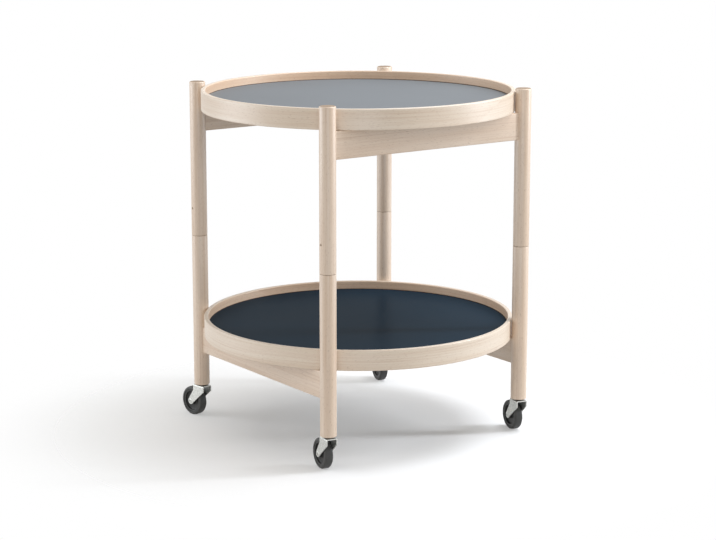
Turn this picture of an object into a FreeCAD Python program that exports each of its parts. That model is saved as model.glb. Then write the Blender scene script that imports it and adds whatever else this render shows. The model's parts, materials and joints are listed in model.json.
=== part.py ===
"""Round two-tier tray table with folding legs on castors, as a parametric document.

Millimetres. The origin is on the floor under the middle of the trays, +Z is up, the top rails run along X
at the front and the back, and the bottom rails run along Y at the left and the right.
"""
import FreeCAD, Part
import math
import os
import re
import Sketcher

SIZES = (
    # Trays
    ("tray_diameter", 500.0),
    ("rim_height", 32.0),
    ("rim_thickness", 7.0),
    ("rim_edge_radius", 1.4),
    ("panel_groove_depth", 3.5),
    ("core_thickness", 2.8),
    ("laminate_thickness", 0.6),
    # Legs
    ("tray_leg_clearance", 0.7),
    ("leg_diameter", 25.5),
    ("leg_half_length", 252.0),
    ("leg_top_radius", 2.0),
    ("leg_foot_radius", 1.0),
    ("leg_joint_chamfer", 0.9),
    # Rails
    ("rail_height", 43.0),
    ("rail_thickness", 9.0),
    ("rail_edge_radius", 1.5),
    ("top_rail_drop", 38.0),
    ("bottom_rail_rise", 56.0),
    ("tenon_thickness", 5.0),
    ("tenon_height", 33.0),
    ("tenon_length", 9.0),
    # Leg pivots
    ("pivot_gap", 0.2),
    ("pivot_pin_diameter", 8.0),
    ("pivot_pin_rise", 60.0),
    ("pivot_pin_depth", 50.0),
    ("pivot_pin_chamfer", 0.8),
    ("pivot_hole_end_gap", 0.6),
    ("cross_pin_diameter", 4.0),
    ("cross_pin_rise", 45.0),
    ("cross_pin_reach", 3.0),
    ("running_clearance", 0.05),
    ("open_pivot_clearance", 0.3),
    # Castor sockets and stems
    ("socket_flange_diameter", 18.0),
    ("socket_flange_thickness", 1.5),
    ("socket_diameter", 11.0),
    ("socket_depth", 34.0),
    ("stem_diameter", 8.0),
    ("stem_length", 30.0),
    ("stem_chamfer", 1.0),
    ("stem_head_diameter", 12.0),
    ("stem_head_thickness", 1.8),
    ("swivel_gap", 0.3),
    # Castor forks
    ("fork_sheet", 1.6),
    ("fork_crown_clearance", 4.5),
    ("fork_crown_length", 25.0),
    ("fork_skirt_height", 10.0),
    ("fork_bend_radius", 2.0),
    ("fork_tip_radius", 5.5),
    ("fork_hub_clearance", 0.2),
    ("castor_trail", 19.5),
    # Castor wheels
    ("wheel_diameter", 48.0),
    ("tyre_width", 14.0),
    ("tyre_thickness", 5.0),
    ("tyre_edge_radius", 2.6),
    ("wheel_band_width", 12.6),
    ("wheel_band_thickness", 3.0),
    ("wheel_web_thickness", 5.0),
    ("hub_diameter", 13.0),
    ("hub_width", 14.6),
    ("axle_diameter", 5.0),
    ("axle_head_diameter", 7.2),
    ("axle_head_height", 0.7),
    ("axle_head_land", 0.2),
    # Swivel angles of the castors, in degrees from +X to the trailing wheel
    ("front_left_castor_angle", 81.0),
    ("front_right_castor_angle", 78.0),
    ("back_left_castor_angle", 100.5),
    ("back_right_castor_angle", 76.0),
    # How far cutting tools run past what they cut, and how closely edges are told apart
    ("overrun", 5.0),
    ("edge_match", 0.001),
)

CORNERS = {
    "front_left": (-1, -1),
    "front_right": (1, -1),
    "back_left": (-1, 1),
    "back_right": (1, 1),
}
OPEN_PIVOT_CORNER = "back_right"
QUARTER_TURN = 90.0
FULL_TURN = 4 * QUARTER_TURN

# Places that several pieces share, worked out from the driving sizes
LEG_RADIUS = "(leg_diameter / 2)"
HALF_SPACING = f"((tray_diameter / 2 + tray_leg_clearance + {LEG_RADIUS}) / sqrt(2))"
FORK_INNER = "(hub_width + 2 * fork_hub_clearance)"
FORK_OUTER = f"({FORK_INNER} + 2 * fork_sheet)"
CROWN_UNDERSIDE = "(wheel_diameter + fork_crown_clearance)"
CROWN_TOP = f"({CROWN_UNDERSIDE} + fork_sheet)"
SOCKET_FACE = f"({CROWN_TOP} + swivel_gap)"
LEG_FOOT = f"({SOCKET_FACE} + socket_flange_thickness)"
LEG_JOINT = f"({LEG_FOOT} + leg_half_length)"
UPPER_LEG_FOOT = f"({LEG_JOINT} + pivot_gap)"
LEG_TOP = f"({UPPER_LEG_FOOT} + leg_half_length)"
BOTTOM_RAIL_FOOT = f"({LEG_FOOT} + bottom_rail_rise)"
TOP_RAIL_FOOT = f"({LEG_TOP} - top_rail_drop - rail_height)"
LOWER_TRAY_FOOT = f"({BOTTOM_RAIL_FOOT} + rail_height)"
UPPER_TRAY_FOOT = f"({TOP_RAIL_FOOT} + rail_height)"
PANEL_RADIUS = "(tray_diameter / 2 - rim_thickness + panel_groove_depth)"
AXLE_HEIGHT = "(wheel_diameter / 2)"
TYRE_SEAT = "(wheel_diameter / 2 - tyre_thickness)"

doc = FreeCAD.newDocument("tray_table")
sheet = doc.addObject("Spreadsheet::Sheet", "sheet")
for row, (alias, size) in enumerate(SIZES, start=1):
    sheet.set(f"A{row}", alias)
    sheet.set(f"B{row}", str(size))
    sheet.setAlias(f"B{row}", alias)
doc.recompute()

ALIAS_WORD = re.compile(r"\b(" + "|".join(alias for alias, size in SIZES) + r")\b")
pieces = []


def in_sheet(text):
    """Write a sum of size names as an expression on the sheet."""
    return ALIAS_WORD.sub(r"sheet.\1", text)


def value(text):
    """Work out a sum of size names with the sheet's present values."""
    return float(sheet.evalExpression(in_sheet(text)))


def bind(thing, name, text):
    """Tie one property of an object to the sheet."""
    thing.setExpression(name, in_sheet(text))


def place_text(x="0", y="0", z="0", axis="0; 0; 1", angle="0"):
    """Write a placement, a shift and a turn about an axis, as an expression."""
    shift = f"create(<<vector>>; {x}; {y}; {z})"
    turn = f"create(<<rotation>>; create(<<vector>>; {axis}); {angle})"
    return f"create(<<placement>>; {shift}; {turn})"


def corner_place(corner, height="0", angle="0"):
    """Write the placement of something on a leg's axis."""
    side, depth = CORNERS[corner]
    return place_text(f"{side} * {HALF_SPACING}", f"{depth} * {HALF_SPACING}", height, angle=angle)


def keep(thing, label):
    """Name a finished piece and put it on the list of pieces to write."""
    thing.Label = label
    pieces.append(thing)


# Sketches and features


def new_sketch(body, name, role):
    """Start a sketch on one of a body's own origin planes."""
    sketch = body.newObject("Sketcher::SketchObject", name)
    plane = next(plane for plane in body.Origin.OriginFeatures if plane.Role == role)
    sketch.AttachmentSupport = (plane, [""])
    sketch.MapMode = "FlatFace"
    return sketch


def pin_point(sketch, name, geometry, vertex, across, up):
    """Hold one point of a sketch at named distances from the sketch's origin."""
    for kind, axis_number, text in (("DistanceX", -2, across), ("DistanceY", -1, up)):
        if text == "0":
            sketch.addConstraint(Sketcher.Constraint("PointOnObject", geometry, vertex, axis_number))
            continue
        number = sketch.addConstraint(
            Sketcher.Constraint(kind, -1, 1, geometry, vertex, value(text)))
        sketch.renameConstraint(number, f"{name}_{kind}")
        bind(sketch, f"Constraints.{name}_{kind}", text)


def point(across, up):
    """Give a sketch point from two sums of size names."""
    return FreeCAD.Vector(value(across), value(up), 0)


def draw_outline(sketch, corners):
    """Draw a closed outline of straight lines through corners given as sums of size names."""
    spots = [point(across, up) for across, up in corners]
    for start, end in zip(spots, spots[1:] + spots[:1]):
        sketch.addGeometry(Part.LineSegment(start, end), False)
    for line in range(len(corners)):
        follower = (line + 1) % len(corners)
        sketch.addConstraint(Sketcher.Constraint("Coincident", line, 2, follower, 1))
    for line, (across, up) in enumerate(corners):
        pin_point(sketch, f"corner{line}", line, 1, across, up)


def turned(name, corners):
    """Turn an outline of radius and height about Z."""
    body = doc.addObject("PartDesign::Body", f"{name}_body")
    sketch = new_sketch(body, f"{name}_outline", "XZ_Plane")
    draw_outline(sketch, corners)
    turning = body.newObject("PartDesign::Revolution", f"{name}_turning")
    turning.Profile = sketch
    turning.ReferenceAxis = (sketch, ["V_Axis"])
    turning.Angle = FULL_TURN
    doc.recompute()
    return body


def padded(body, sketch, name, width):
    """Pad a sketch evenly to both sides of its plane."""
    pad = body.newObject("PartDesign::Pad", name)
    pad.Profile = sketch
    pad.SideType = "Symmetric"
    bind(pad, "Length", width)
    doc.recompute()
    return pad


def soften(body, kind, measure, size, chosen):
    """Round (Fillet, Radius) or bevel (Chamfer, Size) the edges of a body that a test picks."""
    base = body.Tip
    names = [f"Edge{number}" for number, edge in enumerate(base.Shape.Edges, start=1) if chosen(edge)]
    feature = body.newObject(f"PartDesign::{kind}", f"{body.Name}_{kind}")
    feature.Base = (base, names)
    bind(feature, measure, size)
    doc.recompute()


def same(first, second):
    """Say whether two lengths are the same."""
    return abs(first - second) < value("edge_match")


def flat_at(edge, height):
    """Say whether an edge lies flat at a height."""
    return same(edge.BoundBox.ZMin, height) and same(edge.BoundBox.ZMax, height)


def cylinder(name, radius, height, place):
    """Make a plain cylinder from its foot."""
    rod = doc.addObject("Part::Cylinder", name)
    bind(rod, "Radius", radius)
    bind(rod, "Height", height)
    bind(rod, "Placement", place)
    return rod


def combined(kind, name, base, tool):
    """Cut, fuse or intersect two shapes."""
    result = doc.addObject(f"Part::{kind}", name)
    result.Base = base
    result.Tool = tool
    return result


# Trays


def make_tray(tray, foot, laminates):
    """Make a reversible tray: bent rim, core board in its groove, and a laminate on either face.

    The laminates stop at the rim and are named from the lower face to the upper one.
    """
    outside = "tray_diameter / 2"
    inside = "tray_diameter / 2 - rim_thickness"
    top = f"{foot} + rim_height"
    core_foot = f"{foot} + (rim_height - core_thickness) / 2"
    core_top = f"{core_foot} + core_thickness"
    rim = turned(f"{tray}_rim", (
        (inside, foot), (outside, foot), (outside, top), (inside, top),
        (inside, core_top), (PANEL_RADIUS, core_top),
        (PANEL_RADIUS, core_foot), (inside, core_foot)))
    soften(rim, "Fillet", "Radius", "rim_edge_radius",
           lambda edge: flat_at(edge, value(foot)) or flat_at(edge, value(top)))
    keep(rim, f"{tray}_rim")
    layers = ((laminates[0], inside, f"{core_foot} - laminate_thickness", core_foot),
              ("core", PANEL_RADIUS, core_foot, core_top),
              (laminates[1], inside, core_top, f"{core_top} + laminate_thickness"))
    for layer, radius, low, high in layers:
        disc = turned(f"{tray}_{layer}", (("0", low), (radius, low), (radius, high), ("0", high)))
        keep(disc, f"{tray}_{layer}")


# Rails


def make_tenon(rail, foot, along_x, side):
    """Make the tongue that runs the length of a rail and into the legs at its two ends."""
    half_length = f"({HALF_SPACING} - {LEG_RADIUS} + tenon_length)"
    line = f"{side} * {HALF_SPACING} - tenon_thickness / 2"
    tongue = doc.addObject("Part::Box", f"{rail}_tongue")
    bind(tongue, "Length" if along_x else "Width", f"2 * {half_length}")
    bind(tongue, "Width" if along_x else "Length", "tenon_thickness")
    bind(tongue, "Height", "tenon_height")
    x, y = (f"-{half_length}", line) if along_x else (line, f"-{half_length}")
    bind(tongue, "Placement", place_text(x, y, f"{foot} + (rail_height - tenon_height) / 2"))
    return tongue


def make_rail(rail, foot, along_x, side, corners):
    """Make a rail with rounded edges, ends hollowed to the round legs, and tenons."""
    body = doc.addObject("PartDesign::Body", f"{rail}_body")
    sketch = new_sketch(body, f"{rail}_section", "YZ_Plane")
    half = "rail_thickness / 2"
    draw_outline(sketch, ((f"-{half}", "0"), (half, "0"), (half, "rail_height"), (f"-{half}", "rail_height")))
    padded(body, sketch, f"{rail}_length", f"2 * {HALF_SPACING}")
    soften(body, "Fillet", "Radius", "rail_edge_radius",
           lambda edge: same(edge.BoundBox.XLength, 2 * value(HALF_SPACING)))
    line = f"{side} * {HALF_SPACING}"
    place = place_text("0", line, foot) if along_x else place_text(line, "0", foot, angle=str(QUARTER_TURN))
    bind(body, "Placement", place)
    shape = body
    for corner in corners:
        hollow = cylinder(f"{rail}_{corner}_hollow", LEG_RADIUS, "rail_height + 2 * overrun",
                          corner_place(corner, f"{foot} - overrun"))
        shape = combined("Cut", f"{rail}_{corner}_end", shape, hollow)
    tongue = make_tenon(rail, foot, along_x, side)
    keep(combined("Fuse", f"{rail}_joined", shape, tongue), rail)
    return tongue


# Legs and their pivots


def make_cross_pin(corner):
    """Make the dowel that holds a pivot pin, flush with the leg's outer side, and give its drill."""
    side = CORNERS[corner][0]
    start = f"({LEG_RADIUS} + overrun)"
    lying = place_text(f"{side} * {start}", "0", "0", axis="0; 1; 0", angle=str(-side * QUARTER_TURN))
    place = f"{corner_place(corner, f'{UPPER_LEG_FOOT} + cross_pin_rise')} * {lying}"
    drill = cylinder(f"{corner}_drill", "cross_pin_diameter / 2",
                     f"{start} + pivot_pin_diameter / 2 + cross_pin_reach", place)
    envelope = cylinder(f"{corner}_dowel_trim", LEG_RADIUS, "leg_half_length",
                        corner_place(corner, UPPER_LEG_FOOT))
    keep(combined("Common", f"{corner}_flush_dowel", drill, envelope), f"{corner}_cross_pin")
    return drill


def make_pivot_pin(corner, drill):
    """Make the steel pin that is held in the upper leg half and turns in the lower one."""
    radius = "pivot_pin_diameter / 2"
    low = f"{LEG_JOINT} - pivot_pin_depth"
    high = f"{UPPER_LEG_FOOT} + pivot_pin_rise"
    pin = turned(f"{corner}_pivot", (
        ("0", low), (f"{radius} - pivot_pin_chamfer", low), (radius, f"{low} + pivot_pin_chamfer"),
        (radius, f"{high} - pivot_pin_chamfer"), (f"{radius} - pivot_pin_chamfer", high), ("0", high)))
    bind(pin, "Placement", corner_place(corner))
    keep(combined("Cut", f"{corner}_drilled_pivot", pin, drill), f"{corner}_pivot_pin")


def make_upper_leg(corner, tongue, drill):
    """Make an upper leg half: softened top, bevelled joint, pivot hole, mortise and dowel hole."""
    hole = "pivot_pin_diameter / 2"
    hole_top = f"{UPPER_LEG_FOOT} + pivot_pin_rise"
    leg = turned(f"{corner}_upper", (
        (hole, UPPER_LEG_FOOT), (LEG_RADIUS, UPPER_LEG_FOOT), (LEG_RADIUS, LEG_TOP),
        ("0", LEG_TOP), ("0", hole_top), (hole, hole_top)))
    soften(leg, "Fillet", "Radius", "leg_top_radius", lambda edge: flat_at(edge, value(LEG_TOP)))
    soften(leg, "Chamfer", "Size", "leg_joint_chamfer",
           lambda edge: flat_at(edge, value(UPPER_LEG_FOOT)) and same(edge.BoundBox.XMax, value(LEG_RADIUS)))
    bind(leg, "Placement", corner_place(corner))
    mortised = combined("Cut", f"{corner}_upper_mortised", leg, tongue)
    keep(combined("Cut", f"{corner}_upper_drilled", mortised, drill), f"{corner}_upper_leg")


def make_lower_leg(corner, tongue):
    """Make a lower leg half: bevelled joint, pivot hole, castor hole and mortise."""
    clearance = "open_pivot_clearance" if corner == OPEN_PIVOT_CORNER else "running_clearance"
    hole = f"pivot_pin_diameter / 2 + {clearance}"
    hole_end = f"{LEG_JOINT} - pivot_pin_depth - pivot_hole_end_gap"
    socket = "socket_diameter / 2"
    socket_end = f"{LEG_FOOT} + socket_depth"
    leg = turned(f"{corner}_lower", (
        (socket, LEG_FOOT), (LEG_RADIUS, LEG_FOOT), (LEG_RADIUS, LEG_JOINT), (hole, LEG_JOINT),
        (hole, hole_end), ("0", hole_end), ("0", socket_end), (socket, socket_end)))
    for kind, measure, size, height in (("Chamfer", "Size", "leg_joint_chamfer", LEG_JOINT),
                                        ("Fillet", "Radius", "leg_foot_radius", LEG_FOOT)):
        soften(leg, kind, measure, size, lambda edge, level=value(height): (
            flat_at(edge, level) and same(edge.BoundBox.XMax, value(LEG_RADIUS))))
    bind(leg, "Placement", corner_place(corner))
    keep(combined("Cut", f"{corner}_lower_mortised", leg, tongue), f"{corner}_lower_leg")


# Castors


def make_socket(corner):
    """Make the flanged bush that is pressed into a leg's foot and takes the castor stem."""
    bore = "stem_diameter / 2 + running_clearance"
    barrel = "socket_diameter / 2"
    flange = "socket_flange_diameter / 2"
    top = f"{LEG_FOOT} + socket_depth"
    socket = turned(f"{corner}_socket", (
        (bore, SOCKET_FACE), (flange, SOCKET_FACE), (flange, LEG_FOOT),
        (barrel, LEG_FOOT), (barrel, top), (bore, top)))
    bind(socket, "Placement", corner_place(corner))
    keep(socket, f"{corner}_castor_socket")


def make_stem(corner, place):
    """Make the stem that is riveted through the fork's crown."""
    radius = "stem_diameter / 2"
    head = "stem_head_diameter / 2"
    head_foot = f"{CROWN_UNDERSIDE} - stem_head_thickness"
    top = f"{CROWN_TOP} + stem_length"
    stem = turned(f"{corner}_stem", (
        ("0", head_foot), (head, head_foot), (head, CROWN_UNDERSIDE), (radius, CROWN_UNDERSIDE),
        (radius, f"{top} - stem_chamfer"), (f"{radius} - stem_chamfer", top), ("0", top)))
    bind(stem, "Placement", place)
    keep(stem, f"{corner}_castor_stem")


def tangent_turn(across, up, side):
    """Find the angle at which a line from a point touches the round tip of the fork, on one side."""
    reach = point(across, up) - point("castor_trail", AXLE_HEIGHT)
    spread = math.acos(value("fork_tip_radius") / reach.Length)
    return math.atan2(reach.y, reach.x) + side * spread


def draw_fork_side(sketch):
    """Draw a fork arm from the side: a square skirt under the crown, swept back to a round tip."""
    half = "fork_crown_length / 2"
    skirt = f"{CROWN_TOP} - fork_skirt_height"
    crown_back, crown_front = (f"-{half}", CROWN_TOP), (half, CROWN_TOP)
    skirt_back, skirt_front = (f"-{half}", skirt), (half, skirt)
    centre = ("castor_trail", AXLE_HEIGHT)
    start_angle = tangent_turn(*skirt_back, side=1)
    end_angle = tangent_turn(*skirt_front, side=-1) + 2 * math.pi
    circle = Part.Circle(point(*centre), FreeCAD.Vector(0, 0, 1), value("fork_tip_radius"))
    tip = Part.ArcOfCircle(circle, start_angle, end_angle)
    crown, front, sweep_front, tip_number, sweep_back, back = range(6)
    sketch.addGeometry(Part.LineSegment(point(*crown_back), point(*crown_front)), False)
    sketch.addGeometry(Part.LineSegment(point(*crown_front), point(*skirt_front)), False)
    sketch.addGeometry(Part.LineSegment(point(*skirt_front), tip.EndPoint), False)
    sketch.addGeometry(tip, False)
    sketch.addGeometry(Part.LineSegment(tip.StartPoint, point(*skirt_back)), False)
    sketch.addGeometry(Part.LineSegment(point(*skirt_back), point(*crown_back)), False)
    for first, second in ((crown, front), (front, sweep_front), (sweep_back, back), (back, crown)):
        sketch.addConstraint(Sketcher.Constraint("Coincident", first, 2, second, 1))
    sketch.addConstraint(Sketcher.Constraint("Tangent", sweep_front, 2, tip_number, 2))
    sketch.addConstraint(Sketcher.Constraint("Tangent", tip_number, 1, sweep_back, 1))
    held = ((crown, 1, crown_back), (front, 1, crown_front), (sweep_front, 1, skirt_front),
            (back, 1, skirt_back), (tip_number, 3, centre))
    for geometry, vertex, spot in held:
        pin_point(sketch, f"spot{geometry}", geometry, vertex, *spot)
    number = sketch.addConstraint(Sketcher.Constraint("Radius", tip_number, value("fork_tip_radius")))
    sketch.renameConstraint(number, "tip_radius")
    bind(sketch, "Constraints.tip_radius", "fork_tip_radius")


def make_fork(corner, place):
    """Make the sheet-steel fork: two swept arms bent down from a crown, with stem and axle holes."""
    body = doc.addObject("PartDesign::Body", f"{corner}_fork_body")
    side = new_sketch(body, f"{corner}_fork_side", "XZ_Plane")
    draw_fork_side(side)
    padded(body, side, f"{corner}_fork_block", FORK_OUTER)
    throat = new_sketch(body, f"{corner}_fork_throat", "YZ_Plane")
    half = f"{FORK_INNER} / 2"
    draw_outline(throat, ((f"-{half}", "-overrun"), (half, "-overrun"),
                          (half, CROWN_UNDERSIDE), (f"-{half}", CROWN_UNDERSIDE)))
    clearing = body.newObject("PartDesign::Pocket", f"{corner}_fork_clearing")
    clearing.Profile = throat
    clearing.Type = "ThroughAll"
    clearing.SideType = "Symmetric"
    doc.recompute()
    soften(body, "Fillet", "Radius", "fork_bend_radius", lambda edge: (
        flat_at(edge, value(CROWN_TOP)) and same(edge.BoundBox.XLength, value("fork_crown_length"))))
    stem_hole = cylinder(f"{corner}_stem_hole", "stem_diameter / 2", "fork_sheet + 2 * overrun",
                         place_text(z=f"{CROWN_UNDERSIDE} - overrun"))
    axle_hole = cylinder(f"{corner}_axle_hole", "axle_diameter / 2", f"{FORK_OUTER} + 2 * overrun",
                         place_text("castor_trail", f"{FORK_OUTER} / 2 + overrun", AXLE_HEIGHT,
                                    axis="1; 0; 0", angle=str(QUARTER_TURN)))
    crowned = combined("Cut", f"{corner}_fork_crowned", body, stem_hole)
    fork = combined("Cut", f"{corner}_fork_drilled", crowned, axle_hole)
    bind(fork, "Placement", place)
    keep(fork, f"{corner}_castor_fork")


def make_axle(corner, place):
    """Make the axle, a rivet with a low bevelled head on either side of the fork."""
    radius = "axle_diameter / 2"
    head = "axle_head_diameter / 2"
    crest = f"{head} - axle_head_height + axle_head_land"
    seat = f"{FORK_OUTER} / 2"
    half = ((head, seat), (head, f"{seat} + axle_head_land"),
            (crest, f"{seat} + axle_head_height"), ("0", f"{seat} + axle_head_height"))
    mirrored = tuple((across, f"-({up})") for across, up in reversed(half))
    axle = turned(f"{corner}_axle", mirrored + (
        (radius, f"-({seat})"), (radius, seat)) + half)
    bind(axle, "Placement", place)
    keep(axle, f"{corner}_castor_axle")


def make_wheel(corner, place):
    """Make a wheel centre with hub, web and band, and the tyre on it."""
    bore = "axle_diameter / 2 + running_clearance"
    hub = "hub_diameter / 2"
    inside_band = f"{TYRE_SEAT} - wheel_band_thickness"
    half = ((TYRE_SEAT, "wheel_band_width / 2"), (inside_band, "wheel_band_width / 2"),
            (inside_band, "wheel_web_thickness / 2"), (hub, "wheel_web_thickness / 2"),
            (hub, "hub_width / 2"), (bore, "hub_width / 2"))
    mirrored = tuple((across, f"-({up})") for across, up in reversed(half))
    centre = turned(f"{corner}_wheel", mirrored + half)
    edge_height = value("tyre_width / 2")
    tyre = turned(f"{corner}_tyre", (
        (TYRE_SEAT, "-tyre_width / 2"), ("wheel_diameter / 2", "-tyre_width / 2"),
        ("wheel_diameter / 2", "tyre_width / 2"), (TYRE_SEAT, "tyre_width / 2")))
    soften(tyre, "Fillet", "Radius", "tyre_edge_radius", lambda edge: (
        same(abs(edge.BoundBox.ZMin), edge_height)
        and same(edge.BoundBox.XMax, value("wheel_diameter / 2"))))
    for body, name in ((centre, "wheel"), (tyre, "tyre")):
        bind(body, "Placement", place)
        keep(body, f"{corner}_castor_{name}")


def make_castor(corner):
    """Make one swivel castor, turned to its own angle."""
    place = corner_place(corner, angle=f"{corner}_castor_angle")
    upright = place_text("castor_trail", "0", AXLE_HEIGHT, axis="1; 0; 0", angle=str(QUARTER_TURN))
    make_socket(corner)
    make_stem(corner, place)
    make_fork(corner, place)
    make_axle(corner, f"{place} * {upright}")
    make_wheel(corner, f"{place} * {upright}")


def build():
    """Build the whole table."""
    make_tray("upper_tray", UPPER_TRAY_FOOT, ("navy_laminate", "grey_laminate"))
    make_tray("lower_tray", LOWER_TRAY_FOOT, ("grey_laminate", "navy_laminate"))
    top_tongues = {}
    bottom_tongues = {}
    for rail, side, corners in (("front_top_rail", -1, ("front_left", "front_right")),
                                ("back_top_rail", 1, ("back_left", "back_right"))):
        tongue = make_rail(rail, TOP_RAIL_FOOT, True, side, corners)
        top_tongues.update(dict.fromkeys(corners, tongue))
    for rail, side, corners in (("left_bottom_rail", -1, ("front_left", "back_left")),
                                ("right_bottom_rail", 1, ("front_right", "back_right"))):
        tongue = make_rail(rail, BOTTOM_RAIL_FOOT, False, side, corners)
        bottom_tongues.update(dict.fromkeys(corners, tongue))
    for corner in CORNERS:
        drill = make_cross_pin(corner)
        make_pivot_pin(corner, drill)
        make_upper_leg(corner, top_tongues[corner], drill)
        make_lower_leg(corner, bottom_tongues[corner])
        make_castor(corner)
    doc.recompute()


def write_pieces():
    """Check every object and every piece, then write one file for each piece."""
    for thing in doc.Objects:
        if {"Invalid", "Error"} & set(thing.State):
            raise RuntimeError(f"{thing.Name} failed: {thing.State}")
    for piece in pieces:
        if piece.Shape.isNull() or not piece.Shape.isValid():
            raise RuntimeError(f"{piece.Label} has no valid shape")
    os.makedirs("parts", exist_ok=True)
    for piece in pieces:
        piece.Shape.exportStep(f"parts/{piece.Label}.step")
        print(f"{piece.Label}: {len(piece.Shape.Solids)} solid, {piece.Shape.Volume:.1f} cubic mm")


build()
write_pieces()
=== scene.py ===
"""Looks of a round two-tier tray table in pale beech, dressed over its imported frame.

Metres, +Z up. The top rails run along X and the bottom rails along Y, as in the frame.
"""
import json
import logging
import math
from dataclasses import dataclass, field
from enum import Enum
from typing import Optional, Sequence

import bmesh
import bpy
from mathutils import Matrix, Vector


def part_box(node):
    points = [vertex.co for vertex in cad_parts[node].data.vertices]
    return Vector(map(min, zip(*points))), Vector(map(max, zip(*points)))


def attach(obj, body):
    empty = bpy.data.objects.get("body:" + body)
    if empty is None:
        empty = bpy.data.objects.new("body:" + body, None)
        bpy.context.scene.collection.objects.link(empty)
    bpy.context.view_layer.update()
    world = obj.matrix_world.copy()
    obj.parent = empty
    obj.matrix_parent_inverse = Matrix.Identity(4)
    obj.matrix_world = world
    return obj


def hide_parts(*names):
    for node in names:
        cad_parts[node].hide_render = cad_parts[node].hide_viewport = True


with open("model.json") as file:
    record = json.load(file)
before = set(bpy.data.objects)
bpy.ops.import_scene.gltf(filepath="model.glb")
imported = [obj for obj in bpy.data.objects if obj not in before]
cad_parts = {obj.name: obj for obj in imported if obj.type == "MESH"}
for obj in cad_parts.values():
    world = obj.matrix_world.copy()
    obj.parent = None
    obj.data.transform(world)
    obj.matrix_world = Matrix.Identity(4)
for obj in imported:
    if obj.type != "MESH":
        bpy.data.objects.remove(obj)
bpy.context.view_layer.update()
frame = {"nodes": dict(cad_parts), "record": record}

log = logging.getLogger("tray_table")
FULL_TURN = 2 * math.pi
GRAIN = "grain"
SEED_ACROSS = 0.37
SEED_THROUGH = 0.61
SHARP_EDGE = math.radians(38)
SENSOR_WIDTH = 36.0
FAR_CLIP = 100.0
TRAY_SEEDS = (0.31, 1.7)
RAIL_SEEDS = (4.3, 1.1)
LEG_SEEDS = (9.7, 2.3)
CORNERS = ("front_left", "front_right", "back_left", "back_right")
TOP_BODY = {"front_left": "front_top_frame", "front_right": "front_top_frame",
            "back_left": "back_top_frame", "back_right": "back_top_frame"}
BOTTOM_BODY = {"front_left": "left_bottom_frame", "back_left": "left_bottom_frame",
               "front_right": "right_bottom_frame", "back_right": "right_bottom_frame"}
Colour = tuple[float, float, float, float]
Corner = tuple[float, float, float]
Flat = tuple[float, float]


def tone(red: int, green: int, blue: int) -> Colour:
    """Turn a colour written in 0 to 255 into the linear one that shaders take.

    Args:
        red: Red, as on a screen.
        green: Green, as on a screen.
        blue: Blue, as on a screen.

    Returns:
        The linear colour with full alpha.
    """
    parts = []
    for level in (red, green, blue):
        share = level / 255
        parts.append(share / 12.92 if share <= 0.04045 else ((share + 0.055) / 1.055) ** 2.4)
    return (*parts, 1.0)


def seed_of(seeds: Flat, number: int) -> float:
    """Give a piece its own place in the grain, so that no two pieces look alike.

    Args:
        seeds: The first piece's place and the step to the next one.
        number: The piece's number in its row.

    Returns:
        The piece's place in the grain.
    """
    first, step = seeds
    return first + step * number


class GrainRun(Enum):
    """The way in which the fibres of a wooden piece run."""

    UP = "up"
    ALONG_X = "along_x"
    ALONG_Y = "along_y"
    ROUND = "round"


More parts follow.
